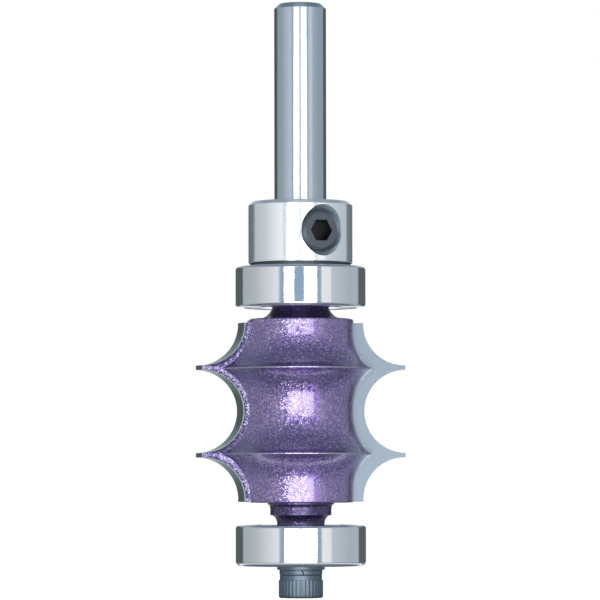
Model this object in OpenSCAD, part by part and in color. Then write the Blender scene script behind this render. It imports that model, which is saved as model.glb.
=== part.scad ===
// Two-flute edge-profile router bit with a guide bearing at each end.
// The axis of the bit is Z, with the shank up and the origin under the retaining screw's head.
// The cutting faces of both tips lie in the XZ plane, and the bit cuts clockwise seen from above.

/* [Shank] */
// Diameter that the collet grips
shank_d = 6.35; // [6.2:0.05:6.6]
// Length of bare shank above the stop collar
shank_l = 24.15; // [20:0.5:40]
// Chamfer at the shank's upper end
shank_chamfer = 0.8; // [0.3:0.1:1.2]
// How much smaller the shank is where the bearing and the collar slip over it
journal_relief = 0.03; // [0.03:0.01:0.08]

/* [Cutting profile] */
// Cutting diameter over the points
cutting_d = 25.4; // [25:0.1:27]
// Radius of the coves that leave the beads
cove_r = 5.03; // [4.6:0.05:5.2]
// Width of each point's flat
point_w = 0.54; // [0.4:0.02:1]
// Diameter over the tips at the bottom of the middle cove
waist_d = 15.44; // [15:0.02:16]
// Diameter over the tips at both ends
end_d = 15.18; // [15:0.02:16]
// Straight land below the lower cove
low_land = 0.35; // [0.1:0.05:1]
// Straight land above the upper cove
high_land = 0.12; // [0.1:0.02:1]

/* [Carbide tips] */
// Thickness of a tip
tip_t = 2; // [1.6:0.1:2.4]
// Distance from the axis to a tip's inner edge
tip_root = 4.6; // [4:0.1:5.2]
// Relief behind the cutting edge, in degrees
relief = 22; // [16:1:26]
// Thickness of the braze round a tip
braze = 0.03; // [0.02:0.01:0.06]

/* [Cutter body] */
// Diameter of the core at its ends and coves
core_d = 12.86; // [12:0.02:13.4]
// Diameter of the two ridges that run round the core
ridge_d = 17.2; // [16.4:0.1:18]
// Width of a ridge's top
ridge_w = 0.12; // [0.1:0.02:0.4]
// Depth of the curve that forms the flank of a ridge
flank_depth = 2.9; // [2.7:0.1:3.4]
// Core below the tips
core_low = 0.11; // [0.05:0.01:0.5]
// Core above the tips
core_high = 0.46; // [0.3:0.02:1]
// Rounding of the core's ends
core_round = 0.22; // [0.1:0.02:0.3]
// Thickness of the steel land right behind a tip
wing_t = 0.3; // [0.2:0.05:0.8]
// Step from a tip's edge back to the wing
wing_step = 0.09; // [0.04:0.01:0.15]
// Width of the land between a tip and the wing's heel
land_w = 0.62; // [0.3:0.02:0.8]

/* [Necks] */
// Diameter of the shoulder under the upper bearing
high_neck_d = 6.88; // [6.8:0.02:7.4]
// Height of the upper neck
high_neck_h = 1.37; // [1.2:0.01:3]
// Radius of the hollow at the upper neck's foot
high_neck_fillet = 1.3; // [0.6:0.05:1.5]
// Diameter of the shoulder on the lower bearing
low_neck_d = 5.76; // [5.6:0.02:6.2]
// Diameter of the band on the lower neck
band_d = 7.44; // [7:0.02:7.8]
// Height of the lower neck
low_neck_h = 2.66; // [2.4:0.02:4]

/* [Bearings] */
// Outside diameter of both bearings
bearing_d = 15.875; // [15.6:0.025:16.2]
// Width of both bearings
bearing_w = 4.978; // [4.8:0.02:5.4]
// Diameter of the circle through the ball centres
pitch_d = 11.112; // [11:0.02:11.2]
// Diameter of a ball
ball_d = 2.381; // [2.2:0.01:2.4]
// Balls in each bearing
ball_count = 8; // [6:1:9]
// Clearance between a ball and its raceways
ball_gap = 0.012; // [0.01:0.002:0.03]
// Rounding of the outer corners
ring_round = 0.42; // [0.2:0.02:0.6]
// Chamfer of the bores
ring_chamfer = 0.2; // [0.1:0.02:0.3]
// Outside diameter of the inner rings
inner_land_d = 9.6; // [9.4:0.05:9.7]
// Inside diameter of the outer rings between the shields
outer_land_d = 12.6; // [12.5:0.05:12.8]
// Diameter of the seats that the shields are pressed into
shield_d = 13.8; // [13.4:0.05:14]
// Thickness of a shield
shield_t = 0.25; // [0.2:0.01:0.3]
// How deep a shield lies under the ring's face
shield_depth = 0.15; // [0.1:0.01:0.25]
// Clearance between a shield and the inner ring
shield_gap = 0.15; // [0.1:0.01:0.25]
// Radial thickness of a ball cage
cage_w = 1.1; // [0.9:0.05:1.2]
// Height of a ball cage above the ball centres
cage_high = 1.6; // [1.45:0.05:1.7]
// Height of the cage's fingers below the ball centres
cage_low = 0.6; // [0.4:0.05:0.8]
// Clearance of a ball in its pocket
pocket_gap = 0.06; // [0.03:0.01:0.1]

/* [Stop collar] */
// Diameter of the stop collar
collar_d = 12.7; // [12:0.1:16]
// Height of the stop collar
collar_h = 7.47; // [6.5:0.05:10]
// Radial clearance between the collar and the shank
collar_slip = 0.025; // [0.02:0.005:0.05]
// Chamfer of the collar's outer edges
collar_chamfer = 0.45; // [0.2:0.05:0.8]
// Height of the collar's foot on the inner ring
foot_h = 0.43; // [0.1:0.01:0.6]
// Diameter of the collar's foot
foot_d = 8.6; // [8:0.1:9.2]

/* [Set screw] */
// Diameter of the set screw
set_d = 4.85; // [4:0.05:5]
// Length of the set screw
set_l = 2.6; // [2.4:0.05:2.9]
// Width across the flats of its socket
set_socket = 2.5; // [2:0.05:2.6]
// Depth of its socket
set_socket_depth = 1.5; // [1:0.1:1.6]
// Diameter of the countersink where its hole opens
set_mouth_d = 6.2; // [5.4:0.05:6.6]
// Depth of that countersink
set_mouth_depth = 0.95; // [0.5:0.05:1.2]
// Direction of the screw, in degrees round from the cutting face of the first tip
set_angle = -64; // [-90:1:0]

/* [Retaining screw] */
// Diameter of the retaining screw's thread
screw_d = 3; // [2.5:0.1:3]
// Length of the screw under its head
screw_l = 7; // [6:0.5:8]
// Diameter of the head over its knurl
head_d = 5.37; // [5:0.01:5.6]
// Height of the head
head_h = 2.8; // [2.4:0.05:3.2]
// Height of the plain band between the knurl and the washers
head_band = 0.64; // [0.4:0.02:0.8]
// Ridges round the knurl
knurl_count = 36; // [24:1:40]
// Depth of the knurl
knurl_depth = 0.13; // [0.08:0.01:0.2]
// Width across the flats of the head's socket
head_socket = 2.5; // [2:0.1:2.7]
// Depth of the head's socket
head_socket_depth = 1.4; // [1:0.1:1.7]
// Thickness of the lock washer
lock_t = 0.6; // [0.5:0.05:1]
// Diameter of the lock washer
lock_d = 5.2; // [4.8:0.05:5.4]
// Thickness of the flat washer
washer_t = 0.45; // [0.4:0.05:1]
// Diameter of the flat washer
washer_d = 5.8; // [5.6:0.05:6.2]

/* [Pilot] */
// Bore of the lower bearing
pilot_bore = 4.7625; // [4.7:0.0125:4.8]
// Radial clearance between the pilot and the lower bearing
pilot_slip = 0.015; // [0.01:0.005:0.03]
// How far the pilot stays back from the bearing's face
pilot_back = 0.12; // [0.05:0.01:0.4]
// Depth of the tapped hole
tap_depth = 6.6; // [6.6:0.1:9]

/* [Hidden] */
$fn = 96;
eps = 0.01;
arc_steps = 12;
screw_slip = 0.02;
washer_hole = 0.2;
bore_chamfer = 0.3;
journal_lead = 0.6;
heel_lap = 0.02;

// Heights, from the screw's head up
lock_z = head_h;
washer_z = lock_z + lock_t;
low_bearing_z = washer_z + washer_t;
low_neck_z = low_bearing_z + bearing_w;
core_z = low_neck_z + low_neck_h;
tip_z = core_z + core_low;
low_cove_z = tip_z + low_land;
low_point_z = low_cove_z + cove_r;
mid_cove_z = low_point_z + point_w + cove_r;
high_point_z = mid_cove_z + cove_r;
high_cove_z = high_point_z + point_w + cove_r;
tip_top = high_cove_z + high_land;
core_top = tip_top + core_high;
high_bearing_z = core_top + high_neck_h;
collar_z = high_bearing_z + bearing_w;
collar_body_z = collar_z + foot_h;
collar_top = collar_body_z + collar_h;
shank_top = collar_top + shank_l;
set_z = collar_body_z + collar_h / 2;

// Radii and places that follow from the sizes above
shank_r = shank_d / 2;
journal_r = shank_r - journal_relief / 2;
core_r = core_d / 2;
ridge_r = ridge_d / 2;
low_ridge_z = low_point_z + point_w / 2;
high_ridge_z = high_point_z + point_w / 2;
pilot_r = pilot_bore / 2 - pilot_slip;
pilot_z = low_bearing_z + pilot_back;
race_r = ball_d / 2 * 1.05;
set_tip = shank_r + 0.01;

BALLS = [for (i = [1:ball_count]) i];
LOW_BALLS = [for (i = BALLS) str("lower_ball_", i)];
HIGH_BALLS = [for (i = BALLS) str("upper_ball_", i)];

// Points along an arc or an ellipse's arc
function arc(x, z, rx, rz, from, to) = [
    for (i = [0:arc_steps]) let (a = from + (to - from) * i / arc_steps) [x + rx * cos(a), z + rz * sin(a)]
];

// How far round the flank's ellipse lies the point where it reaches the ridge
flank_end = acos(1 - (ridge_r - core_r) / flank_depth);
// Height of the flank's ellipse between its deepest point and the ridge
function flank_h(deep_z, ridge_edge_z) = abs(ridge_edge_z - deep_z) / sin(flank_end);
// A ridge's flank, from the core up or down to the ridge
function flank(deep_z, ridge_edge_z, from, to) = arc(
    core_r + flank_depth, deep_z, flank_depth, flank_h(deep_z, ridge_edge_z),
    180 - from, 180 - to
);

// Edge of the core's half section, with its two ridges, from its lower end up
CORE_EDGE = concat(
    arc(core_r - core_round, core_z + core_round, core_round, core_round, -90, 0),
    flank(low_cove_z + 1, low_ridge_z - ridge_w / 2, 0, flank_end),
    flank(mid_cove_z, low_ridge_z + ridge_w / 2, -flank_end, 0),
    flank(mid_cove_z, high_ridge_z - ridge_w / 2, eps, flank_end),
    flank(high_cove_z - 1, high_ridge_z + ridge_w / 2, -flank_end, 0),
    arc(core_r - core_round, core_top - core_round, core_round, core_round, 0, 90)
);

// Half section of the whole turned body: pilot, lower neck, core with its ridges, upper neck and shank
module body_section() {
    pilot_chamfer = 0.2;
    neck_low_z = low_neck_z + low_neck_h * 0.04;
    band_z = low_neck_z + low_neck_h * 0.44;
    band_top = low_neck_z + low_neck_h * 0.7;
    flare_top = core_z - 0.2;
    flare_r = band_d / 2 + 0.3;
    low_neck_r = low_neck_d / 2;
    high_neck_r = high_neck_d / 2;
    hollow = min(high_neck_fillet, high_neck_h - eps);
    polygon(concat(
        [
            [0, pilot_z], [pilot_r - pilot_chamfer, pilot_z], [pilot_r, pilot_z + pilot_chamfer],
            [pilot_r, low_neck_z], [low_neck_r, low_neck_z]
        ],
        arc(band_d / 2, neck_low_z, band_d / 2 - low_neck_r, band_z - neck_low_z, 180, 90),
        arc(flare_r, band_top, flare_r - band_d / 2, flare_top - band_top, 180, 90),
        [[flare_r, core_z]],
        CORE_EDGE,
        arc(high_neck_r + hollow, core_top + hollow, hollow, hollow, 270, 180),
        [
            [high_neck_r, high_bearing_z], [journal_r, high_bearing_z],
            [journal_r, collar_top - journal_lead], [shank_r, collar_top],
            [shank_r, shank_top - shank_chamfer], [shank_r - shank_chamfer, shank_top], [0, shank_top]
        ]
    ));
}

// Outline of a tip seen square to its cutting face: three coves that leave two points.
// It can start at another root, be drawn in towards the axis, and have wider coves.
module tip_outline(root = tip_root, inset = 0, wider = 0) {
    outer = cutting_d / 2 - inset;
    difference() {
        translate([root, tip_z]) square([outer - root, tip_top - tip_z]);
        translate([end_d / 2 + cove_r - inset, low_cove_z]) circle(cove_r + wider);
        translate([waist_d / 2 + cove_r - inset, mid_cove_z]) circle(cove_r + wider);
        translate([end_d / 2 + cove_r - inset, high_cove_z]) circle(cove_r + wider);
    }
}

// The outline carried back from the cutting face, drawn in towards the axis by the relief
module relieved(from, to, inset = 0) {
    lean = tan(relief);
    multmatrix([[1, -lean, 0, 0], [0, 1, 0, 0], [0, 0, 1, 0]])
        translate([0, to, 0]) rotate([90, 0, 0]) linear_extrude(to - from) tip_outline(inset = inset);
}

// A carbide tip with its cutting face at y = 0
module tip() {
    intersection() {
        relieved(0, tip_t);
        translate([tip_root, -1, tip_z - 1]) cube([cutting_d, tip_t + 2, tip_top - tip_z + 2]);
    }
}

// A wing: a thin land behind the tip, and a heel that carries the core's own ridges straight on
// to the land, in the plane that leaves the core where its ridges look towards the land
module wing() {
    back = tip_t + braze + wing_t;
    drawn = tan(relief) * back;
    cove_x = waist_d / 2 + cove_r - drawn;
    crest_x = cove_x - sqrt(pow(cove_r + land_w, 2) - pow(cove_r + point_w / 2, 2));
    heel_turn = atan2(back, crest_x) + acos(ridge_r / norm([crest_x, back]));
    relieved(tip_t, back, wing_step);
    intersection() {
        rotate([0, 0, heel_turn]) rotate([90, 0, 0]) linear_extrude(cutting_d)
            translate([-heel_lap, 0]) polygon(concat([[0, core_z]], CORE_EDGE, [[0, core_top]]));
        translate([0, ridge_r, 0]) rotate([90, 0, 0]) linear_extrude(ridge_r - back + eps)
            tip_outline(eps, drawn, land_w);
    }
}

// Slot that a tip is brazed into, open outwards and at both ends
module tip_slot() {
    translate([tip_root - braze, -braze, core_z - 1])
        cube([cutting_d, tip_t + 2 * braze, core_top - core_z + 2]);
}

module cutter_body() {
    color("mediumpurple") difference() {
        union() {
            rotate_extrude() body_section();
            for (a = [0, 180]) rotate([0, 0, a]) wing();
        }
        for (a = [0, 180]) rotate([0, 0, a]) tip_slot();
        translate([0, 0, pilot_z - 1]) cylinder(d = screw_d + 2 * screw_slip, h = tap_depth + 1);
        translate([0, 0, pilot_z + tap_depth - eps])
            cylinder(d1 = screw_d + 2 * screw_slip, d2 = 0, h = screw_d / 4);
    }
}

module carbide_tip_right() {
    color("lightsteelblue") tip();
}

module carbide_tip_left() {
    color("lightsteelblue") rotate([0, 0, 180]) tip();
}

// Inner ring of a bearing, with its raceway, centred on z = 0
module inner_ring(bore) {
    half = bearing_w / 2;
    color("silver") rotate_extrude() difference() {
        polygon([
            [bore / 2, ring_chamfer - half], [bore / 2 + ring_chamfer, -half],
            [inner_land_d / 2 - ring_chamfer, -half], [inner_land_d / 2, ring_chamfer - half],
            [inner_land_d / 2, half - ring_chamfer], [inner_land_d / 2 - ring_chamfer, half],
            [bore / 2 + ring_chamfer, half], [bore / 2, half - ring_chamfer]
        ]);
        translate([(pitch_d - ball_d) / 2 - ball_gap + race_r, 0]) circle(race_r);
    }
}

// Outer ring of a bearing, with its raceway and a stepped seat for a shield at each face
module outer_ring() {
    half = bearing_w / 2;
    outer = bearing_d / 2;
    seat = half - shield_depth - shield_t;
    rim = outer - shield_d / 2;
    edge = min(ring_chamfer / 2, rim / 3);
    round = min(ring_round, rim / 2);
    color("silver") rotate_extrude() difference() {
        polygon(concat(
            [
                [outer_land_d / 2, -seat], [shield_d / 2, -seat],
                [shield_d / 2, edge - half], [shield_d / 2 + edge, -half]
            ],
            arc(outer - round, round - half, round, round, -90, 0),
            arc(outer - round, half - round, round, round, 0, 90),
            [
                [shield_d / 2 + edge, half], [shield_d / 2, half - edge],
                [shield_d / 2, seat], [outer_land_d / 2, seat]
            ]
        ));
        translate([(pitch_d + ball_d) / 2 + ball_gap - race_r, 0]) circle(race_r);
    }
}

// Crown cage: a ring above the balls with fingers that reach past their centres
module ball_cage() {
    color("dimgray") difference() {
        translate([0, 0, -cage_low]) difference() {
            cylinder(d = pitch_d + cage_w, h = cage_high + cage_low);
            translate([0, 0, -1]) cylinder(d = pitch_d - cage_w, h = cage_high + cage_low + 2);
        }
        for (i = BALLS) rotate([0, 0, i * 360 / ball_count])
            translate([pitch_d / 2, 0, 0]) sphere(d = ball_d + 2 * pocket_gap);
    }
}

// One ball of a bearing, in its place round the pitch circle
module ball(i) {
    color("gainsboro") rotate([0, 0, i * 360 / ball_count])
        translate([pitch_d / 2, 0, 0]) sphere(d = ball_d);
}

// Pressed steel shield, dished towards the balls next to its rim, lying on the seat's step
module shield() {
    half = bearing_w / 2;
    bottom = half - shield_depth - shield_t;
    hole = inner_land_d / 2 + shield_gap;
    rim = shield_d / 2 - 0.01;
    bend = (hole + rim) / 2;
    dish = shield_t * 0.3;
    color("lightgray") rotate_extrude() polygon([
        [hole, bottom - dish], [bend - 0.15, bottom - dish], [outer_land_d / 2 - 0.05, bottom],
        [rim, bottom], [rim, bottom + shield_t],
        [bend + 0.1, bottom + shield_t], [bend - 0.15, bottom + shield_t - dish], [hole, bottom + shield_t - dish]
    ]);
}

// Where each bearing lies
module at_low_bearing() {
    translate([0, 0, low_bearing_z + bearing_w / 2]) children();
}

module at_high_bearing() {
    translate([0, 0, high_bearing_z + bearing_w / 2]) children();
}

// The line along which the set screw is driven, with z along it, away from the shank
module along_set_screw() {
    translate([0, 0, set_z]) rotate([0, 0, set_angle]) rotate([0, 90, 0]) children();
}

module stop_collar() {
    outer = collar_d / 2;
    bore = shank_r + collar_slip;
    hole_r = set_d / 2 + screw_slip;
    flare = (set_mouth_d / 2 - hole_r) / set_mouth_depth;
    color("silver") difference() {
        rotate_extrude() polygon([
            [bore, collar_z], [foot_d / 2, collar_z], [foot_d / 2, collar_body_z],
            [outer - collar_chamfer / 2, collar_body_z], [outer, collar_body_z + collar_chamfer / 2],
            [outer, collar_top - collar_chamfer], [outer - collar_chamfer, collar_top],
            [bore + bore_chamfer, collar_top], [bore, collar_top - bore_chamfer]
        ]);
        along_set_screw() cylinder(r = hole_r, h = outer + 1);
        along_set_screw() translate([0, 0, outer - set_mouth_depth])
            cylinder(r1 = hole_r, r2 = hole_r + flare * (set_mouth_depth + 1), h = set_mouth_depth + 1);
    }
}

// Socket set screw with a cup point
module set_screw() {
    edge = 0.3;
    cup = 0.4;
    color("dimgray") along_set_screw() translate([0, 0, set_tip]) difference() {
        rotate_extrude() polygon([
            [0, cup], [set_d / 4, 0], [set_d / 2 - 2 * edge, 0], [set_d / 2, 2 * edge],
            [set_d / 2, set_l - edge], [set_d / 2 - edge, set_l], [0, set_l]
        ]);
        translate([0, 0, set_l - set_socket_depth]) rotate([0, 0, 30])
            cylinder(d = set_socket / cos(30), h = set_socket_depth + 1, $fn = 6);
    }
}

module flat_washer() {
    color("silver") translate([0, 0, washer_z]) difference() {
        cylinder(d = washer_d, h = washer_t);
        translate([0, 0, -1]) cylinder(d = screw_d + washer_hole, h = washer_t + 2);
    }
}

// Split lock washer, pressed flat, with its slanting cut towards the front
module lock_washer() {
    cut_w = 0.22;
    cut_angle = -85;
    cut_lean = 25;
    color("silver") translate([0, 0, lock_z]) difference() {
        cylinder(d = lock_d, h = lock_t);
        translate([0, 0, -1]) cylinder(d = screw_d + washer_hole, h = lock_t + 2);
        rotate([0, 0, cut_angle]) translate([0, 0, lock_t / 2]) rotate([cut_lean, 0, 0])
            translate([0, -cut_w / 2, -lock_t * 2]) cube([lock_d, cut_w, lock_t * 4]);
    }
}

// Socket cap screw with a knurled head, its socket opening downwards
module cap_screw() {
    edge = 0.25;
    tooth = 360 / knurl_count;
    knurl_r = head_d / 2;
    plain_r = head_d / 2 - knurl_depth;
    color("slategray") difference() {
        union() {
            intersection() {
                linear_extrude(head_h - head_band) polygon([
                    for (i = [0:knurl_count - 1], half = [0, 1])
                        let (a = (i + half / 2) * tooth, r = half == 0 ? knurl_r : plain_r)
                        [r * cos(a), r * sin(a)]
                ]);
                rotate_extrude() polygon([
                    [0, 0], [knurl_r - edge, 0], [knurl_r + eps, edge], [knurl_r + eps, head_h], [0, head_h]
                ]);
            }
            translate([0, 0, edge]) cylinder(r = plain_r, h = head_h - edge);
            cylinder(d = screw_d, h = head_h + screw_l);
        }
        translate([0, 0, -1]) cylinder(d = head_socket / cos(30), h = head_socket_depth + 1, $fn = 6);
    }
}

cutter_body();
carbide_tip_right();
carbide_tip_left();
at_high_bearing() inner_ring(shank_d);  // upper_inner_ring
at_high_bearing() outer_ring();  // upper_outer_ring
at_high_bearing() ball_cage();  // upper_ball_cage
at_high_bearing() shield();  // upper_shield_top
at_high_bearing() mirror([0, 0, 1]) shield();  // upper_shield_bottom
at_low_bearing() inner_ring(pilot_bore);  // lower_inner_ring
at_low_bearing() outer_ring();  // lower_outer_ring
at_low_bearing() ball_cage();  // lower_ball_cage
at_low_bearing() shield();  // lower_shield_top
at_low_bearing() mirror([0, 0, 1]) shield();  // lower_shield_bottom
stop_collar();
set_screw();
flat_washer();
lock_washer();
cap_screw();
for (i = BALLS) at_high_bearing() ball(i);
for (i = BALLS) at_low_bearing() ball(i);
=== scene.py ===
import math

import bmesh
import bpy
from mathutils import Matrix, Vector


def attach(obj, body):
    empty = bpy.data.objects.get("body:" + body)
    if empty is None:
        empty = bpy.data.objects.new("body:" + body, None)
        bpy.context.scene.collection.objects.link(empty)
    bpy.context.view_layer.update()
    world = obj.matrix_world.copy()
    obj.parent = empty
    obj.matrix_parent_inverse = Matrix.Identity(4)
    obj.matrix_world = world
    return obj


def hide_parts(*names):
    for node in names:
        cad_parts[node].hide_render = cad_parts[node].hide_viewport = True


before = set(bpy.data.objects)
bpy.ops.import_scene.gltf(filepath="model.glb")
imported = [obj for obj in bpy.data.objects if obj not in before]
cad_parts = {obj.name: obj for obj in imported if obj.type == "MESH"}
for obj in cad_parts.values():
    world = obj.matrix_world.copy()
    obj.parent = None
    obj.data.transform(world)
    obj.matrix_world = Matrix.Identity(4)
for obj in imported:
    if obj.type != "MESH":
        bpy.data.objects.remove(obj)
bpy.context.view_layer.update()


# The camera stands low in front of the bit, a little under its middle, and looks up at it
# through a long lens.
eye = bpy.data.objects.new("camera", bpy.data.cameras.new("camera"))
bpy.context.collection.objects.link(eye)
eye.data.lens = 240
eye.data.sensor_width = 36
eye.data.clip_start = 0.01
eye.location = (-0.00006, -0.485, 0.0133)
sight = Vector((-0.00006, 0, 0.03607)) - eye.location
upright = sight.to_track_quat("-Z", "Y").to_matrix()
eye.rotation_euler = (upright @ Matrix.Rotation(math.radians(-0.09), 3, "Z")).to_euler()
bpy.context.scene.camera = eye
bpy.context.scene.view_settings.view_transform = "Standard"


# One broad softbox in front, reaching from a little above the bit to well below it, lights
# everything evenly and draws the white stripes on the steel.
BIT_MIDDLE, BOX_GLOW = 0.036, 3.5
box_side, box_above, box_below = (math.tan(math.radians(angle)) for angle in (28.5, 9.5, 29))
softbox = bpy.data.objects.new("softbox", bpy.data.lights.new("softbox", "AREA"))
bpy.context.collection.objects.link(softbox)
softbox.data.shape = "RECTANGLE"
softbox.data.size = 2 * box_side
softbox.data.size_y = box_above + box_below
softbox.data.energy = math.pi * softbox.data.size * softbox.data.size_y * BOX_GLOW
softbox.location = (0, -1, BIT_MIDDLE + (box_above - box_below) / 2)
softbox.rotation_euler = (math.radians(90), 0, 0)
softbox.visible_camera = False


# Grey cards stand all round the bit, and only its gloss shows them: light ones beside the
# softbox, mid greys at the sides and low dark ones behind, which give the steel its dark
# edges, with a blue-grey ceiling and a darker table below.
CARD_DISTANCE = 1.6
# degrees to the right of the camera, and the card's colour there
CARDS = [
    (-180, (1.0, 1.0, 1.0)), (-167, (0.9, 0.92, 0.93)), (-163, (0.10, 0.125, 0.125)),
    (-124, (0.10, 0.125, 0.125)), (-121, (0.42, 0.47, 0.50)), (-85, (0.52, 0.56, 0.59)),
    (-40, (0.88, 0.90, 0.94)), (-35.5, (0.37, 0.46, 0.56)), (-28, (0.31, 0.40, 0.51)),
    (28, (0.31, 0.40, 0.51)), (36, (0.38, 0.47, 0.57)), (38, (0.94, 0.95, 0.97)),
    (54, (0.90, 0.91, 0.94)), (57, (0.59, 0.64, 0.69)), (95, (0.46, 0.51, 0.56)),
    (121, (0.46, 0.51, 0.55)), (124, (0.12, 0.14, 0.16)), (163, (0.10, 0.12, 0.13)),
    (167, (0.9, 0.92, 0.93)), (180, (1.0, 1.0, 1.0)),
]
# degrees above the bit's middle, and the colour of the table or the ceiling there
LEVELS = [
    (-90, (0.07, 0.09, 0.12)), (-45, (0.13, 0.16, 0.21)), (-25, (0.40, 0.47, 0.54)),
    (20, (0.44, 0.52, 0.59)), (45, (0.22, 0.27, 0.32)), (72, (0.24, 0.29, 0.34)), (83, (0.42, 0.50, 0.56)),
]
# degrees above the bit's middle, and how far table and ceiling hide the cards there
HIDING = [(-24, 1), (-14, 0), (13, 0), (22, 1)]


def material_of(name):
    made = bpy.data.materials.new(name)
    made.use_nodes = True
    made.node_tree.nodes.clear()
    return made.node_tree


def part_of(tree, kind, settings=None, **inputs):
    """Adds a node by its kind, with its inputs given by name."""
    node = tree.nodes.new("ShaderNode" + kind)
    for key, value in (settings or {}).items():
        setattr(node, key, value)
    for key, value in inputs.items():
        node.inputs[key.replace("_", " ")].default_value = value
    return node


def join(tree, *steps):
    """Links nodes by the names of their sockets, one pair after another."""
    for (source, out), (target, into) in zip(steps[::2], steps[1::2]):
        tree.links.new(source.outputs[out], target.inputs[into])


def ramped(ramp, marks):
    """Sets the marks of a colour ramp, each a place and a colour."""
    ramp.color_ramp.elements.remove(ramp.color_ramp.elements[1])
    ramp.color_ramp.elements[0].position = marks[0][0]
    ramp.color_ramp.elements[0].color = (*marks[0][1], 1)
    for spot, tone in marks[1:]:
        ramp.color_ramp.elements.new(spot).color = (*tone, 1)


def lift(degrees):
    """Where an angle above the bit's middle lies on a ramp that runs from table to ceiling."""
    return 0.5 + math.sin(math.radians(degrees)) / 2


def staged(name, shape, finish, seen_by_camera=False):
    mesh = bpy.data.meshes.new(name)
    shape.to_mesh(mesh)
    shape.free()
    thing = bpy.data.objects.new(name, mesh)
    bpy.context.collection.objects.link(thing)
    mesh.materials.append(bpy.data.materials[finish])
    if not seen_by_camera:
        thing.visible_camera = thing.visible_diffuse = thing.visible_shadow = False
        thing.visible_transmission = False
    return thing


cards = material_of("grey_cards")
place = part_of(cards, "TexCoord")
split = part_of(cards, "SeparateXYZ")
forward = part_of(cards, "Math", {"operation": "MULTIPLY"})
forward.inputs[1].default_value = -1
turn = part_of(cards, "Math", {"operation": "ARCTAN2"})
share = part_of(cards, "MapRange", {}, From_Min=-math.pi, From_Max=math.pi)
tones = part_of(cards, "ValToRGB")
height = part_of(cards, "MapRange", {}, From_Min=-CARD_DISTANCE, From_Max=CARD_DISTANCE)
levels = part_of(cards, "ValToRGB")
hiding = part_of(cards, "ValToRGB")
layered = part_of(cards, "Mix", {"data_type": "RGBA"})
glow = part_of(cards, "Emission", {}, Strength=1)
end = part_of(cards, "OutputMaterial")
join(
    cards, (place, "Object"), (split, "Vector"), (split, "Y"), (forward, 0), (split, "X"), (turn, 0),
    (forward, 0), (turn, 1), (turn, 0), (share, "Value"), (share, "Result"), (tones, "Fac"),
    (split, "Z"), (height, "Value"), (height, "Result"), (levels, "Fac"), (height, "Result"),
    (hiding, "Fac"), (hiding, "Color"), (layered, "Factor"), (tones, "Color"), (layered, "A"),
    (levels, "Color"), (layered, "B"), (layered, "Result"), (glow, "Color"), (glow, "Emission"),
    (end, "Surface"),
)
ramped(tones, [((angle + 180) / 360, tone) for angle, tone in CARDS])
ramped(levels, [(lift(angle), tone) for angle, tone in LEVELS])
ramped(hiding, [(lift(angle), (part, part, part)) for angle, part in HIDING])
dome = bmesh.new()
bmesh.ops.create_uvsphere(dome, u_segments=96, v_segments=48, radius=CARD_DISTANCE)
staged("grey_cards", dome, "grey_cards").location = (0, 0, BIT_MIDDLE)


# The camera and its stand hide a strip of the softbox: wide at the camera's body, narrow at
# its hood, with a thin stem below.
STAND_AT = 0.97
# degrees to the right of the bit's middle and above it
STAND = [
    (-11.4, 0.9), (-11.4, 5.2), (-4.2, 5.8), (-3.6, 9.8), (3.4, 9.8), (3.8, 5.8), (6.7, 5.2), (6.7, 0.9),
    (1.0, 0.5), (0.42, 0), (0.42, -30), (-0.42, -30), (-0.42, 0), (-3, 0.5),
]
stand = material_of("camera_stand")
dim = part_of(stand, "Emission", {}, Color=(0.30, 0.42, 0.58, 1), Strength=1)
end = part_of(stand, "OutputMaterial")
join(stand, (dim, "Emission"), (end, "Surface"))
strip = bmesh.new()
strip.faces.new([
    strip.verts.new((
        math.tan(math.radians(across)) * STAND_AT, -STAND_AT,
        BIT_MIDDLE + math.tan(math.radians(up)) * STAND_AT,
    ))
    for across, up in STAND
])
staged("camera_stand", strip, "camera_stand")


# A ring of the white table just round the bit's foot is bright and shows in the coves' paint.
# The gloss alone sees it.
TABLE_R, TABLE_GLOW, UNDER_FLOOR = 0.03, 1.15, 0.0005
# how far out from the axis, as a share of the table's radius, and the colour there
TABLE = [
    (0.0, (0.10, 0.12, 0.14)), (0.40, (0.14, 0.16, 0.19)), (0.44, (0.85, 0.92, 1.0)),
    (0.53, (0.85, 0.92, 1.0)), (0.60, (0.20, 0.23, 0.28)), (1.0, (0.20, 0.24, 0.30)),
]
table = material_of("lit_table")
place = part_of(table, "TexCoord")
away = part_of(table, "VectorMath", {"operation": "LENGTH"})
share = part_of(table, "MapRange", {}, From_Max=TABLE_R)
tones = part_of(table, "ValToRGB")
glow = part_of(table, "Emission", {}, Strength=TABLE_GLOW)
end = part_of(table, "OutputMaterial")
join(
    table, (place, "Object"), (away, 0), (away, "Value"), (share, "Value"), (share, "Result"),
    (tones, "Fac"), (tones, "Color"), (glow, "Color"), (glow, "Emission"), (end, "Surface"),
)
ramped(tones, TABLE)
disc = bmesh.new()
bmesh.ops.create_circle(disc, cap_ends=True, segments=96, radius=TABLE_R)
staged("lit_table", disc, "lit_table").location = (0, 0, -UNDER_FLOOR)


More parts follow.
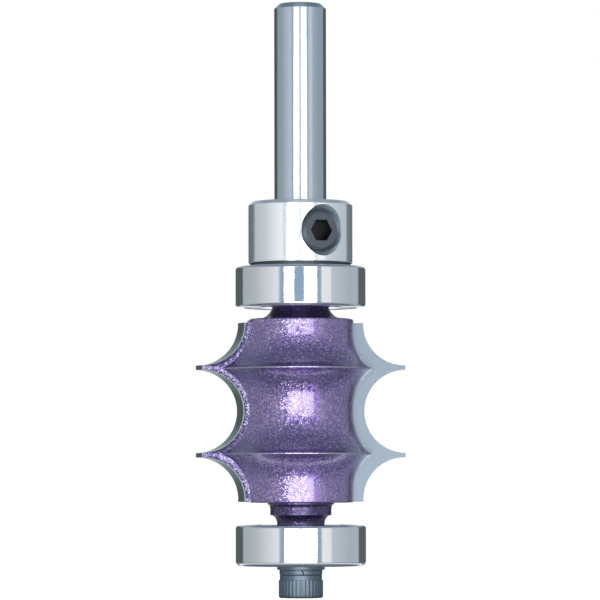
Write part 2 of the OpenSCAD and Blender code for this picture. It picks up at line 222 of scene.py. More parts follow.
# The floor and the room behind are plain white, also to gloss wherever no card stands, and
# the floor keeps a faint shadow.
world = bpy.data.worlds.new("room")
bpy.context.scene.world = world
world.use_nodes = True
room = world.node_tree
room.nodes.clear()
path = part_of(room, "LightPath")
either = part_of(room, "Math", {"operation": "MAXIMUM"})
any_of = part_of(room, "Math", {"operation": "MAXIMUM"})
level = part_of(room, "MapRange", {}, To_Min=0.35, To_Max=1)
air = part_of(room, "Background", {}, Color=(1, 1, 1, 1))
end = part_of(room, "OutputWorld")
join(
    room, (path, "Is Camera Ray"), (either, 0), (path, "Is Glossy Ray"), (either, 1), (either, 0),
    (any_of, 0), (path, "Is Transmission Ray"), (any_of, 1), (any_of, 0), (level, "Value"),
    (level, "Result"), (air, "Strength"), (air, "Background"), (end, "Surface"),
)
pale = material_of("white_floor")
path = part_of(pale, "LightPath")
glow = part_of(pale, "Emission", {}, Color=(1, 1, 1, 1), Strength=0.96)
faint = part_of(pale, "BsdfDiffuse", {}, Color=(0.4, 0.4, 0.4, 1))
both = part_of(pale, "AddShader")
matt = part_of(pale, "BsdfDiffuse", {}, Color=(0.8, 0.8, 0.8, 1))
choose = part_of(pale, "MixShader")
end = part_of(pale, "OutputMaterial")
join(
    pale, (glow, "Emission"), (both, 0), (faint, "BSDF"), (both, 1), (path, "Is Camera Ray"),
    (choose, 0), (matt, "BSDF"), (choose, 1), (both, "Shader"), (choose, 2), (choose, "Shader"),
    (end, "Surface"),
)
sheet = bmesh.new()
bmesh.ops.create_grid(sheet, x_segments=1, y_segments=1, size=6)
floor = staged("floor", sheet, "white_floor", seen_by_camera=True)
floor.visible_glossy = floor.visible_shadow = False


# The cutter is one bar of tool steel. Shank, necks, core and pilot are turned on it and two
# wings are left standing. The cutting part is sprayed with a purple paint full of metal
# flakes, and shank and pilot are ground bright. Sizes are in millimetres.
MM = 0.001
SHANK_R, SHANK_TOP, SHANK_CHAMFER, SHANK_EASE = 3.175, 72.126, 0.6, 0.12
COLLAR_TOP, JOURNAL_R, JOURNAL_TOP = 47.976, 3.16, 47.376
CORE_R, CORE_LOW, CORE_TOP, CORE_EASE = 6.43, 11.488, 33.728, 0.22
LOW_RIDGE, WAIST, HIGH_RIDGE = 17.40, 22.548, 27.71
RIDGE_R, RIDGE_HALF, FLANK_R = 8.6, 0.09, 2.9
NECK_TOP, NECK_TOP_R, NECK_FILLET, FILLET_AT = 35.098, 3.44, 2.05, 5.373
PILOT_R, PILOT_LOW, PILOT_CHAMFER = 2.36625, 3.97, 0.2
NECK_LOW, NECK_R, NECK_STEP_R, NECK_WIDE_R = 8.828, 2.88, 3.72, 4.02
CURVE_LOW, CURVE_TOP, STEP_EDGE, STEP_EASE, STEP_RISE = 8.934, 9.998, 10.69, 0.3, 0.598
LOW_DEEP, TOP_DEEP = 12.948, 32.148
TAP_R, TAP_DEPTH, TAP_POINT, TAP_CHAMFER = 1.52, 6.6, 0.75, 0.15
TIP_LOW, TIP_TOP, TIP_ROOT, TIP_T, BRAZE = 11.598, 33.268, 4.6, 2, 0.03
TIP_REACH, COVE_R = 12.7, 5.03
# how far in each of a tip's three coves cuts, and at which height
COVES = ((7.59, 11.948), (7.72, WAIST), (7.59, 33.148))
RELIEF = math.tan(math.radians(22))


def arc(x, z, rx, rz, start, stop, steps=20):
    angles = [math.radians(start + (stop - start) * i / steps) for i in range(steps + 1)]
    return [(x + rx * math.cos(a), z + rz * math.sin(a)) for a in angles]


def turned(points, steps=160, closed=True):
    """A half section spun round the Z axis; an open one starts and ends on the axis."""
    shape = bmesh.new()
    row = [shape.verts.new((x * MM, 0, z * MM)) for x, z in points]
    pairs = list(zip(row, row[1:] + row[:1])) if closed else list(zip(row, row[1:]))
    lines = [shape.edges.new(pair) for pair in pairs]
    bmesh.ops.spin(
        shape, geom=row + lines, cent=(0, 0, 0), axis=(0, 0, 1), dvec=(0, 0, 0),
        angle=math.tau, steps=steps, use_merge=True, use_duplicate=False,
    )
    bmesh.ops.remove_doubles(shape, verts=shape.verts, dist=1e-6)
    bmesh.ops.dissolve_degenerate(shape, edges=shape.edges, dist=1e-7)
    bmesh.ops.recalc_face_normals(shape, faces=shape.faces)
    return shape


def new_corners(grown):
    return [part for part in grown["geom"] if isinstance(part, bmesh.types.BMVert)]


def prism(points, low, high):
    """An outline in X and Z carried along Y from low to high."""
    shape = bmesh.new()
    face = shape.faces.new([shape.verts.new((x * MM, low * MM, z * MM)) for x, z in points])
    moved = new_corners(bmesh.ops.extrude_face_region(shape, geom=[face]))
    bmesh.ops.translate(shape, verts=moved, vec=(0, (high - low) * MM, 0))
    bmesh.ops.recalc_face_normals(shape, faces=shape.faces)
    return shape


def piece_of(name, shape, sharp=30):
    mesh = bpy.data.meshes.new(name)
    shape.to_mesh(mesh)
    shape.free()
    mesh.shade_smooth()
    mesh.set_sharp_from_angle(angle=math.radians(sharp))
    thing = bpy.data.objects.new(name, mesh)
    bpy.context.collection.objects.link(thing)
    return thing


def levelled(thing):
    """Lets the large faces decide how the light lies, so that flats stay flat up to their edges."""
    thing.modifiers.new("level", "WEIGHTED_NORMAL").keep_sharp = True


def carved(thing, shape, operation="DIFFERENCE", sharp=30):
    """Cuts a shape out of a piece, joins it on, or keeps what they share."""
    tool = piece_of("tool", shape)
    thing.modifiers.clear()
    cut = thing.modifiers.new("cut", "BOOLEAN")
    cut.operation, cut.object, cut.solver = operation, tool, "EXACT"
    solid = bpy.data.meshes.new_from_object(thing.evaluated_get(bpy.context.evaluated_depsgraph_get()))
    thing.modifiers.clear()
    old, thing.data = thing.data, solid
    solid.name = thing.name
    bpy.data.meshes.remove(old)
    bpy.data.objects.remove(tool)
    solid.shade_smooth()
    solid.set_sharp_from_angle(angle=math.radians(sharp))


def tip_outline(root=TIP_ROOT, inset=0, wider=0, steps=28):
    """A tip seen square to its cutting face: three coves that leave two points. It can start at
    another root, be drawn in towards the axis, and have wider coves, which meet in a crest."""
    radius = COVE_R + wider
    spots = [Vector((x + COVE_R - inset, z)) for x, z in COVES]
    bounds, caps = [TIP_LOW], []
    for low, high in zip(spots, spots[1:]):
        gap = (high - low).length / 2
        if radius > gap:
            across = Vector((low.y - high.y, high.x - low.x)).normalized() * math.sqrt(radius**2 - gap**2)
            caps.append([tuple((low + high) / 2 + across)] * 2)
        else:
            outer = TIP_REACH - inset
            caps.append([(outer, spot.y + way * math.sqrt(radius**2 - (outer - spot.x) ** 2))
                         for spot, way in ((low, 1), (high, -1))])
        bounds += [caps[-1][0][1], caps[-1][1][1]]
    bounds.append(TIP_TOP)
    points = [(root, TIP_LOW)]
    for i, spot in enumerate(spots):
        low, high = (180 - math.degrees(math.asin((z - spot.y) / radius)) for z in bounds[2 * i:2 * i + 2])
        points += arc(*spot, radius, radius, low, high, steps) + (caps[i] if i < 2 else [])
    return points + [(root, TIP_TOP)]


def stepped(rows):
    """An outline carried back from depth to depth, with its points moved to a new outline at
    each. The faces left inside are taken out, so that one closed skin remains."""
    (depth, points), *rest = rows
    shape = bmesh.new()
    ring = [shape.verts.new((x * MM, depth * MM, z * MM)) for x, z in points]
    front = face = shape.faces.new(ring)
    for depth, points in rest:
        inner, grown = face, bmesh.ops.extrude_face_region(shape, geom=[face])
        face = next(part for part in grown["geom"] if isinstance(part, bmesh.types.BMFace))
        if inner != front:
            bmesh.ops.delete(shape, geom=[inner], context="FACES_ONLY")
        fresh = set(new_corners(grown))
        ring = [next(e.other_vert(v) for e in v.link_edges if e.other_vert(v) in fresh) for v in ring]
        for v, (x, z) in zip(ring, points):
            v.co = (x * MM, depth * MM, z * MM)
    bmesh.ops.remove_doubles(shape, verts=shape.verts, dist=1e-6)
    bmesh.ops.recalc_face_normals(shape, faces=shape.faces)
    return shape


def half_turn(shape):
    bmesh.ops.rotate(shape, verts=shape.verts, cent=(0, 0, 0), matrix=Matrix.Rotation(math.pi, 3, "Z"))
    return shape


def flank(deep_z, edge_z, start, stop):
    """A core cove's side, from its deepest height out to a ridge, or back with start and stop."""
    reach = 90 + math.degrees(math.asin((RIDGE_R - CORE_R - FLANK_R) / FLANK_R))
    rise = abs(edge_z - deep_z) / math.sin(math.radians(reach))
    return arc(CORE_R + FLANK_R, deep_z, FLANK_R, rise, 180 - start * reach, 180 - stop * reach)


def crest(z):
    """A ridge's narrow flat top, with its two edges rubbed down."""
    edge_r, edge, flat = RIDGE_R - 0.03, 0.08, 0.055
    return [(edge_r, z - edge), (RIDGE_R, z - flat), (RIDGE_R, z + flat), (edge_r, z + edge)]


core = [
    *arc(CORE_R - CORE_EASE, CORE_LOW + CORE_EASE, CORE_EASE, CORE_EASE, -90, 0, 8),
    *flank(LOW_DEEP, LOW_RIDGE - RIDGE_HALF, 0, 1)[:-1], *crest(LOW_RIDGE),
    *flank(WAIST, LOW_RIDGE + RIDGE_HALF, -1, 0)[1:], *flank(WAIST, HIGH_RIDGE - RIDGE_HALF, 0, 1)[1:-1],
    *crest(HIGH_RIDGE), *flank(TOP_DEEP, HIGH_RIDGE + RIDGE_HALF, -1, 0)[1:],
    *arc(CORE_R - CORE_EASE, CORE_TOP - CORE_EASE, CORE_EASE, CORE_EASE, 0, 90, 8),
]
shank_end = (SHANK_R - SHANK_EASE, SHANK_TOP - SHANK_CHAMFER - 0.05, SHANK_EASE, SHANK_EASE)
shank_face = (SHANK_R - SHANK_CHAMFER - 0.05, SHANK_TOP - SHANK_EASE, SHANK_EASE, SHANK_EASE)
bar = [
    (0, PILOT_LOW + TAP_DEPTH + TAP_POINT), (TAP_R, PILOT_LOW + TAP_DEPTH),
    (TAP_R, PILOT_LOW + TAP_CHAMFER), (TAP_R + TAP_CHAMFER, PILOT_LOW),
    (PILOT_R - PILOT_CHAMFER, PILOT_LOW), (PILOT_R, PILOT_LOW + PILOT_CHAMFER), (PILOT_R, NECK_LOW),
    (NECK_R, NECK_LOW),
    *arc(NECK_STEP_R, CURVE_LOW, NECK_STEP_R - NECK_R, CURVE_TOP - CURVE_LOW, 180, 90, 12),
    *arc(NECK_WIDE_R, STEP_EDGE, STEP_EASE, STEP_RISE, 180, 90, 8),
    (NECK_WIDE_R, CORE_LOW - 0.03), *core,
    *arc(FILLET_AT, CORE_TOP + NECK_FILLET, NECK_FILLET, NECK_FILLET, 270, 199.4, 14),
    (NECK_TOP_R, NECK_TOP), (JOURNAL_R, NECK_TOP), (JOURNAL_R, JOURNAL_TOP), (SHANK_R, COLLAR_TOP),
    *arc(*shank_end, 0, 45, 4), *arc(*shank_face, 45, 90, 4), (0, SHANK_TOP),
]
cutter = piece_of("cutter", turned(bar, 192, closed=False), 26)
# Behind each tip comes a thin land with a sloping face, and behind that the heel, which carries
# the core's own ridges straight on to the land. Both are set off by a hair from what they join,
# so that no faces coincide.
LAND_FRONT, LAND_STEP, LAND_BACK, LAND_W, LAND_INSET = 1.9, 2.06, 2.33, 0.62, 0.12
HAIR, HEEL_LONG = 0.02, 12
drawn = RELIEF * LAND_BACK
half_gap = (HIGH_RIDGE - LOW_RIDGE) / 2
crest_x = COVES[1][0] + COVE_R - drawn - math.sqrt((COVE_R + LAND_W) ** 2 - half_gap**2)
HEEL_TURN = math.atan2(LAND_BACK, crest_x) + math.acos(RIDGE_R / math.hypot(LAND_BACK, crest_x))
for turned_round in (False, True):
    land = stepped([
        (LAND_FRONT, tip_outline(inset=LAND_INSET + RELIEF * LAND_FRONT)),
        (LAND_STEP, tip_outline(inset=LAND_INSET + RELIEF * LAND_STEP)),
        (LAND_BACK, tip_outline(inset=drawn, wider=LAND_W - HAIR)),
    ])
    carved(cutter, half_turn(land) if turned_round else land, "UNION", 26)
    slimmer = [(x - HAIR, z * 0.9999) for x, z in core]
    heel = prism([(0, CORE_LOW + 0.004), *slimmer, (0, CORE_TOP - 0.004)], -HEEL_LONG, 0)
    bmesh.ops.rotate(heel, verts=heel.verts, cent=(0, 0, 0), matrix=Matrix.Rotation(HEEL_TURN, 3, "Z"))
    whole = piece_of("heel", half_turn(heel) if turned_round else heel)
    limit = prism(tip_outline(0.5, drawn, LAND_W)[:-1] + [(0.5, CORE_TOP + 1.7)], 2.2, RIDGE_R)
    carved(whole, half_turn(limit) if turned_round else limit, "INTERSECT")
    heel = bmesh.new()
    heel.from_mesh(whole.data)
    bpy.data.objects.remove(whole)
    carved(cutter, heel, "UNION", 26)
    root = TIP_ROOT - BRAZE
    slot = prism(
        [(root, CORE_LOW - 1), (14, CORE_LOW - 1), (14, CORE_TOP + 1), (root, CORE_TOP + 1)],
        -BRAZE, TIP_T + BRAZE,
    )
    carved(cutter, half_turn(slot) if turned_round else slot, "DIFFERENCE", 26)


def principled(tree, color, metal, rough, **inputs):
    shader = part_of(
        tree, "BsdfPrincipled", {}, Base_Color=(*color, 1), Metallic=metal, Roughness=rough, **inputs
    )
    end = part_of(tree, "OutputMaterial")
    join(tree, (shader, "BSDF"), (end, "Surface"))
    return shader


def at(tree, stretch=(1, 1, 1)):
    """Where a point lies on the piece, in metres, stretched along the axes."""
    place = part_of(tree, "TexCoord")
    grid = part_of(tree, "Mapping", {}, Scale=stretch)
    join(tree, (place, "Object"), (grid, "Vector"))
    return grid


def unsettled(tree, colour_node, amount, shader):
    """Tilts the surface at each speck by a random colour, as far as the amount says."""
    middle = part_of(tree, "VectorMath", {"operation": "SUBTRACT"})
    middle.inputs[1].default_value = (0.5, 0.5, 0.5)
    scaled = part_of(tree, "VectorMath", {"operation": "SCALE"}, Scale=amount)
    out = part_of(tree, "NewGeometry")
    tilted = part_of(tree, "VectorMath", {"operation": "ADD"})
    unit = part_of(tree, "VectorMath", {"operation": "NORMALIZE"})
    join(
        tree, (colour_node, "Color"), (middle, 0), (middle, 0), (scaled, 0), (scaled, 0), (tilted, 0),
        (out, "Normal"), (tilted, 1), (tilted, 0), (unit, 0), (unit, 0), (shader, "Normal"),
    )


def flaked(name, metal, rough, tilt, hues, **coat):
    """Metal or paint made up of flakes of random colour and tilt, under a clear coat if one is given."""
    tree = material_of(name)
    shader = principled(tree, hues[0][1], metal, rough, **coat)
    flakes = part_of(tree, "TexVoronoi", {}, Scale=7500)
    pick = part_of(tree, "SeparateColor")
    blend = part_of(tree, "ValToRGB")
    ramped(blend, hues)
    join(
        tree, (at(tree), "Vector"), (flakes, "Vector"), (flakes, "Color"), (pick, "Color"),
        (pick, "Red"), (blend, "Fac"), (blend, "Color"), (shader, "Base Color"),
    )
    unsettled(tree, flakes, tilt, shader)


def grained(name, color, metal, rough, stretch, detail, tilt):
    """Bare, plated or blackened metal whose surface is unsettled by a fine grain."""
    tree = material_of(name)
    shader = principled(tree, color, metal, rough)
    grain = part_of(tree, "TexNoise", {}, Scale=1, Detail=detail)
    join(tree, (at(tree, stretch), "Vector"), (grain, "Vector"))
    unsettled(tree, grain, tilt, shader)
    return tree, shader, grain


def finished(thing, *finishes):
    for finish in finishes:
        thing.data.materials.append(bpy.data.materials[finish])


flaked(
    "purple_flake", 0.88, 0.26, 0.34,
    [(0, (0.14, 0.07, 0.31)), (0.6, (0.24, 0.155, 0.42)), (1, (0.50, 0.41, 0.56))],
    Coat_Weight=1, Coat_Roughness=0.11, Coat_IOR=1.8,
)
grained("ground_steel", (0.53, 0.60, 0.65), 1, 0.16, (500, 500, 9000), 3, 0.05)
# Thin paint for the necks, darkened further as painted shade where the bearings and the core hang over
# them.
flaked(
    "thin_paint", 0.8, 0.33, 0.22,
    [(0, (0.055, 0.042, 0.105)), (0.75, (0.075, 0.055, 0.14)), (1, (0.26, 0.18, 0.42))],
    Coat_Weight=0.4, Coat_Roughness=0.2, Coat_IOR=1.5,
)
# A lighter lilac colour for the ridge crests: a painted highlight along the ridge lines.
flaked("worn_ridge", 1, 0.3, 0.25, [(0, (0.40, 0.37, 0.50)), (1, (0.44, 0.41, 0.54))])
flaked(
    "land_paint", 0.88, 0.3, 0.34,
    [(0, (0.07, 0.045, 0.17)), (0.6, (0.12, 0.085, 0.23)), (1, (0.38, 0.34, 0.44))],
    Coat_Weight=0.6, Coat_Roughness=0.2, Coat_IOR=1.5,
)
PAINT_LOW, PAINT_TOP = 8.83, 35.09
cutter.data.materials.clear()
finished(cutter, "purple_flake", "ground_steel", "thin_paint", "worn_ridge", "land_paint")
PAINT, BARE, SHADED_NECKS, RIDGES, LANDS = range(5)
for face in cutter.data.polygons:
    x, y, z = (part / MM for part in face.center)
    reach = math.hypot(x, y)
    tapped = reach < 1.6 and z < PAINT_LOW + 3
    if tapped or not PAINT_LOW < z < PAINT_TOP:
        face.material_index = BARE
    # The necks under the bearings and the core take the thin paint, which is darkened as painted shade.
    elif (z > CORE_TOP + 0.01 and reach < 5.4) or (z < CORE_LOW - 0.01 and reach < 4.3):
        face.material_index = SHADED_NECKS
    # The ridge crests take the lighter colour that paints in their highlight.
    elif reach < 10 and min(abs(z - LOW_RIDGE), abs(z - HIGH_RIDGE)) < 0.07:
        face.material_index = RIDGES
    elif x * y > 0 and TIP_T + BRAZE < abs(y) < LAND_BACK + 0.005 and reach > 6:
        face.material_index = LANDS
    else:
        face.material_index = PAINT
levelled(cutter)
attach(cutter, "bit")
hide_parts("cutter_body")


# Two carbide tips, ground to the same profile with relief behind the edge, stand in slots in
# the wings and are brazed there. Their faces are fine ground, their relief is darker, and a
# bead of braze shines beside the ends of the two ridges.
grained("ground_carbide", (0.17, 0.20, 0.23), 1, 0.35, (9000, 9000, 700), 4, 0.10)
grained("relief_grind", (0.34, 0.40, 0.38), 0.92, 0.3, (9000, 9000, 700), 4, 0.08)
grained("braze", (0.60, 0.58, 0.66), 1, 0.4, (9000, 9000, 9000), 2, 0.02)
LEAN = Matrix(((1, -RELIEF, 0, 0), (0, 1, 0, 0), (0, 0, 1, 0), (0, 0, 0, 1)))
for side, turned_round in (("right", False), ("left", True)):
    shape = prism(tip_outline(), 0, TIP_T)
    bmesh.ops.remove_doubles(shape, verts=shape.verts, dist=1e-6)
    bmesh.ops.transform(shape, matrix=LEAN, verts=shape.verts)
    bmesh.ops.bisect_plane(
        shape, geom=list(shape.verts) + list(shape.edges) + list(shape.faces),
        plane_co=(TIP_ROOT * MM, 0, 0), plane_no=(-1, 0, 0), clear_outer=True,
    )
    bmesh.ops.holes_fill(shape, edges=shape.edges)
    bmesh.ops.recalc_face_normals(shape, faces=shape.faces)
    tip = piece_of("carbide_" + side, half_turn(shape) if turned_round else shape)
    finished(tip, "ground_carbide", "relief_grind")
    for face in tip.data.polygons:
        face.material_index = int(abs(face.normal.y) < 0.9)
    levelled(tip)
    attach(tip, "bit")
    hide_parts("carbide_tip_" + side)
    for ridge, middle in (("low", LOW_RIDGE), ("high", HIGH_RIDGE)):
        run = [(x, z) for x, z in core if abs(z - middle) < 1.5]
        seam = prism(
            [(x + BRAZE, z) for x, z in run] + [(x - 0.05, z) for x, z in reversed(run)], -0.05, -0.002
        )
        bead = piece_of(f"braze_{ridge}_{side}", half_turn(seam) if turned_round else seam)
        finished(bead, "braze")
        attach(bead, "bit")


# Each guide bearing is a shielded ball bearing of hardened, polished steel: two rings ground
# all over, pressed shields, eight balls and a crown cage between them.
BEARING_W, BEARING_R, PITCH_R, BALL_R, RACE_R, PLAY = 4.978, 7.9375, 5.556, 1.1905, 1.250025, 0.012
INNER_R, OUTER_BORE, SHIELD_SEAT_R, SHIELD_SEAT = 4.8, 6.3, 6.9, 0.4
grained("polished_steel", (0.80, 0.82, 0.84), 1, 0.05, (7000, 7000, 7000), 2, 0.05)
grained("pressed_shield", (0.66, 0.68, 0.70), 1, 0.28, (5000, 5000, 5000), 3, 0.12)
grained("cage_steel", (0.50, 0.50, 0.49), 1, 0.4, (6000, 6000, 6000), 2, 0.1)


def eased(corners, steps=5):
    """A closed section whose corners are rounded where a third number gives their radius."""
    points = []
    for i, (x, z, *ease) in enumerate(corners):
        here = Vector((x, z))
        if not ease:
            points.append((x, z))
            continue
        back = (Vector(corners[i - 1][:2]) - here).normalized()
        on = (Vector(corners[(i + 1) % len(corners)][:2]) - here).normalized()
        half = back.angle(on) / 2
        reach = ease[0] / math.tan(half)
        centre = here + (back + on).normalized() * ease[0] / math.sin(half)
        first, last = here + back * reach - centre, here + on * reach - centre
        for k in range(steps + 1):
            spoke = first.slerp(last, k / steps)
            points.append(tuple(centre + spoke.normalized() * ease[0]))
    return points


def dressed(name, shape, middle, finish, body, node, sharp=28):
    """A piece made round its own middle, put at its height, given its finish and set on its body."""
    bmesh.ops.translate(shape, verts=shape.verts, vec=(0, 0, middle * MM))
    thing = piece_of(name, shape, sharp)
    finished(thing, finish)
    levelled(thing)
    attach(thing, body)
    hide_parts(node)
    return thing


half = BEARING_W / 2
seat = half - SHIELD_SEAT
DISH = [
    (4.95, 2.014), (5.77, 2.014), (6.25, 2.089), (6.89, 2.089),
    (6.89, 2.339), (6.02, 2.339), (5.77, 2.264), (4.95, 2.264),
]
# which end, the bearing's middle, its bore's radius and the rounding of its outer bottom edge
for end_name, middle, bore, low_ease in (("upper", 37.587, 3.175, 0.42), ("lower", 6.339, 2.38125, 0.58)):
    race = arc(PITCH_R + BALL_R + PLAY - RACE_R, 0, RACE_R, RACE_R, -50.7, 50.7, 16)
    outer = eased([
        (OUTER_BORE, -seat), (SHIELD_SEAT_R, -seat), (SHIELD_SEAT_R, -half, 0.08),
        (BEARING_R, -half, low_ease), (BEARING_R, half, 0.42), (SHIELD_SEAT_R, half, 0.08),
        (SHIELD_SEAT_R, seat), (OUTER_BORE, seat),
    ]) + race[::-1]
    dressed(
        end_name + "_outer", turned(outer), middle, "polished_steel", end_name + "_bearing",
        end_name + "_outer_ring",
    )
    race = arc(PITCH_R - BALL_R - PLAY + RACE_R, 0, RACE_R, RACE_R, 130, 230, 16)
    inner = eased([
        (INNER_R, half, 0.15), (bore, half, 0.2), (bore, -half, 0.2), (INNER_R, -half, 0.15),
    ]) + race[::-1]
    dressed(
        end_name + "_inner", turned(inner), middle, "polished_steel", "bit",
        end_name + "_inner_ring",
    )
    for face in ("top", "bottom"):
        shape = turned(DISH)
        if face == "bottom":
            bmesh.ops.scale(shape, vec=(1, 1, -1), verts=shape.verts)
            bmesh.ops.recalc_face_normals(shape, faces=shape.faces)
        shield = end_name + "_shield_" + face
        dressed(
            shield + "_dressed", shape, middle, "pressed_shield", end_name + "_bearing",
            shield,
        )
    cage = bmesh.new()
    cage.from_mesh(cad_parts[end_name + "_ball_cage"].data)
    bmesh.ops.remove_doubles(cage, verts=cage.verts, dist=1e-6)
    dressed(
        end_name + "_cage_dressed", cage, 0, "cage_steel", end_name + "_cage",
        end_name + "_ball_cage",
    )
    for i in range(1, 9):
        shape = bmesh.new()
        bmesh.ops.create_icosphere(shape, subdivisions=3, radius=BALL_R * MM)
        angle = i * math.tau / 8
        bmesh.ops.translate(
            shape, verts=shape.verts,
            vec=(PITCH_R * MM * math.cos(angle), PITCH_R * MM * math.sin(angle), 0),
        )
        ball = f"{end_name}_ball_{i}"
        dressed(ball + "_dressed", shape, middle, "polished_steel", ball, ball, 180)


# The stop collar is turned from mild steel and bright plated, with a foot that bears on the upper bearing
# and is coloured dark as painted shade of the gap there. It is drilled and countersunk square to the shank
# for its set screw, and the drilled part is left unplated.
COLLAR_R, COLLAR_LOW, FOOT_TOP = 6.35, 40.076, 40.49
SCREW_Z, SCREW_TURN, SCREW_HOLE_R = 44.241, math.radians(-64), 2.445
outward = Vector((math.cos(SCREW_TURN), math.sin(SCREW_TURN), 0))
plated, shader, specks = grained(
    "bright_plating", (0.94, 0.975, 0.99), 0.88, 0.12, (8000, 8000, 8000), 3, 0.07
)
rubbed = part_of(plated, "MapRange", {}, From_Min=0.35, From_Max=0.65, To_Min=0.05, To_Max=0.27)
join(plated, (specks, "Fac"), (rubbed, "Value"), (rubbed, "Result"), (shader, "Roughness"))
grained("drilled_steel", (0.62, 0.70, 0.75), 1, 0.36, (6000, 6000, 6000), 2, 0.02)
# Nearly black steel for the foot: painted shade in the gap over the upper bearing.
grained("dull_foot", (0.11, 0.13, 0.145), 1, 0.5, (6000, 6000, 6000), 2, 0.02)


def along_screw(shape):
    """Lays a shape turned about Z along the set screw's line, away from the shank."""
    way = Matrix.Rotation(SCREW_TURN, 4, "Z") @ Matrix.Rotation(math.pi / 2, 4, "Y")
    bmesh.ops.transform(shape, matrix=Matrix.Translation((0, 0, SCREW_Z * MM)) @ way, verts=shape.verts)
    return shape


def from_screw_line(point):
    """How far out along the set screw's line a point lies, and how far beside it."""
    spot = point / MM - Vector((0, 0, SCREW_Z))
    out = spot.dot(outward)
    return out, (spot - outward * out).length


section = eased([
    (3.2, COLLAR_LOW), (4.3, COLLAR_LOW), (4.35, 40.16), (6.1, 40.18), (6.12, 40.46),
    (COLLAR_R, 40.506, 0.1), (COLLAR_R, COLLAR_TOP - 0.45, 0.06), (5.9, COLLAR_TOP, 0.08),
    (3.5, COLLAR_TOP), (3.2, COLLAR_TOP - 0.3),
])
collar = piece_of("collar", turned(section, 192), 24)
drill = turned(
    [(0, 0), (SCREW_HOLE_R, 0), (SCREW_HOLE_R, 5.4), (3.1, 6.35), (3.79, 7.35), (0, 7.35)], 96, closed=False
)
carved(collar, along_screw(drill), sharp=24)
finished(collar, "bright_plating", "drilled_steel", "dull_foot")
PLATED, DRILLED, SHADED_FOOT = range(3)
for face in collar.data.polygons:
    inside = math.hypot(*face.center[:2]) / MM < COLLAR_R - 0.02
    # Faces below the foot's top take the dark finish, a painted shade.
    if face.center.z / MM < FOOT_TOP:
        face.material_index = SHADED_FOOT
    else:
        face.material_index = DRILLED if inside and from_screw_line(face.center)[1] < 3.15 else PLATED
levelled(collar)
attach(collar, "collar")
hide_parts("stop_collar")


# The set screw is black steel with a cup point and a broached hexagon socket, whose inside is coloured
# nearly black as painted shade. It is screwed into the collar.
KEY_ACROSS, SCREW_OUT = 2.5, 3.185
grained("black_oxide", (0.085, 0.088, 0.095), 0.85, 0.38, (3500, 3500, 3500), 4, 0.25)
# Nearly black inside the socket: painted shade.
grained("black_socket", (0.014, 0.016, 0.018), 0.5, 0.35, (3500, 3500, 3500), 2, 0.02)


def hexagon(across, low, high, turn=0):
    shape = bmesh.new()
    corner = across / 2 / math.cos(math.pi / 6) * MM
    bmesh.ops.create_circle(shape, cap_ends=True, segments=6, radius=corner)
    spin = Matrix.Rotation(math.radians(turn), 3, "Z")
    bmesh.ops.rotate(shape, verts=shape.verts, cent=(0, 0, 0), matrix=spin)
    bmesh.ops.translate(shape, verts=shape.verts, vec=(0, 0, low * MM))
    moved = new_corners(bmesh.ops.extrude_face_region(shape, geom=list(shape.faces)))
    bmesh.ops.translate(shape, verts=moved, vec=(0, 0, (high - low) * MM))
    bmesh.ops.recalc_face_normals(shape, faces=shape.faces)
    return shape


grub = eased([
    (0, 0.4), (1.2125, 0), (1.825, 0, 0.1), (2.425, 0.6), (2.425, 2.3), (2.125, 2.6, 0.08), (0, 2.6),
])
set_screw = piece_of("grub_screw", turned(grub, 96, closed=False), 28)
carved(set_screw, hexagon(KEY_ACROSS, 1.1, 3.6), sharp=28)
laid = bmesh.new()
laid.from_mesh(set_screw.data)
bmesh.ops.translate(laid, verts=laid.verts, vec=(0, 0, SCREW_OUT * MM))
along_screw(laid)
bmesh.ops.recalc_face_normals(laid, faces=laid.faces)
laid.to_mesh(set_screw.data)
laid.free()
set_screw.data.set_sharp_from_angle(angle=math.radians(28))
finished(set_screw, "black_oxide", "black_socket")
for face in set_screw.data.polygons:
    out, beside = from_screw_line(face.center)
    # Faces inside the socket take the nearly black painted shade.
    face.material_index = int(beside < 1.46 and 4.1 < out < 5.75)
levelled(set_screw)
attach(set_screw, "collar")
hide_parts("set_screw")


# Under the lower bearing lie a flat washer and a split lock washer of grey steel, held by a
# socket cap screw with a knurled head.
grained("grey_screw_steel", (0.175, 0.222, 0.265), 1, 0.42, (4000, 4000, 4000), 4, 0.12)


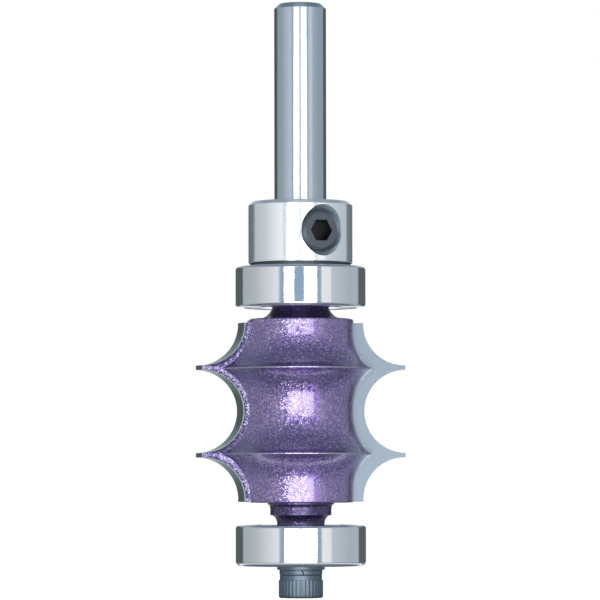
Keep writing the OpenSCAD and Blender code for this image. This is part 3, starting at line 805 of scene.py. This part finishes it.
def washer_of(name, reach, low, high, ease, node):
    ring = eased([(1.6, low), (reach, low, ease), (reach, high, ease), (1.6, high)])
    return dressed(name, turned(ring, 128), 0, "grey_screw_steel", "bit", node)


washer_of("washer", 2.9, 3.4, 3.85, 0.05, "flat_washer")
spring = washer_of("spring_washer", 2.6, 2.8, 3.4, 0.06, "lock_washer")
notch = bmesh.new()
bmesh.ops.create_cube(notch, size=1)
bmesh.ops.transform(
    notch, verts=notch.verts,
    matrix=Matrix.Translation((0, 0, 3.1 * MM)) @ Matrix.Rotation(math.radians(-85), 4, "Z")
    @ Matrix.Rotation(math.radians(25), 4, "X") @ Matrix.Translation((2.6 * MM, 0, 0))
    @ Matrix.Diagonal((5.2 * MM, 0.13 * MM, 2.4 * MM, 1)),
)
carved(spring, notch, sharp=28)
levelled(spring)

HEAD_R, HEAD_H, HEAD_STEP, THREAD_R, SCREW_END = 2.685, 2.8, 0.13, 1.5, 9.8
BAND_LOW, TEETH, TOOTH_DEPTH = 2.16, 36, 0.065
head = turned(eased([
    (0, 0), (HEAD_R - 0.02, 0, 0.25), *[(HEAD_R, 0.3 + 0.31 * i) for i in range(6)],
    (HEAD_R, BAND_LOW - 0.02), (HEAD_R - HEAD_STEP, BAND_LOW), (HEAD_R - HEAD_STEP, HEAD_H, 0.1),
    (THREAD_R, HEAD_H), (THREAD_R, SCREW_END - 0.1), (THREAD_R - 0.1, SCREW_END), (0, SCREW_END),
]), TEETH * 6, closed=False)
for v in head.verts:
    reach = Vector(v.co[:2]).length / MM
    if reach > 2.3 and v.co.z / MM < BAND_LOW - 0.01:
        swing = 0.5 - 0.5 * math.cos(math.atan2(v.co.y, v.co.x) * TEETH)
        shrink = 1 - TOOTH_DEPTH * swing**0.7 / reach
        v.co.x, v.co.y = v.co.x * shrink, v.co.y * shrink
screw = dressed("cap_screw_dressed", head, 0, "grey_screw_steel", "bit", "cap_screw", 40)
carved(screw, hexagon(KEY_ACROSS, -1, 1.4, 30), sharp=40)
levelled(screw)
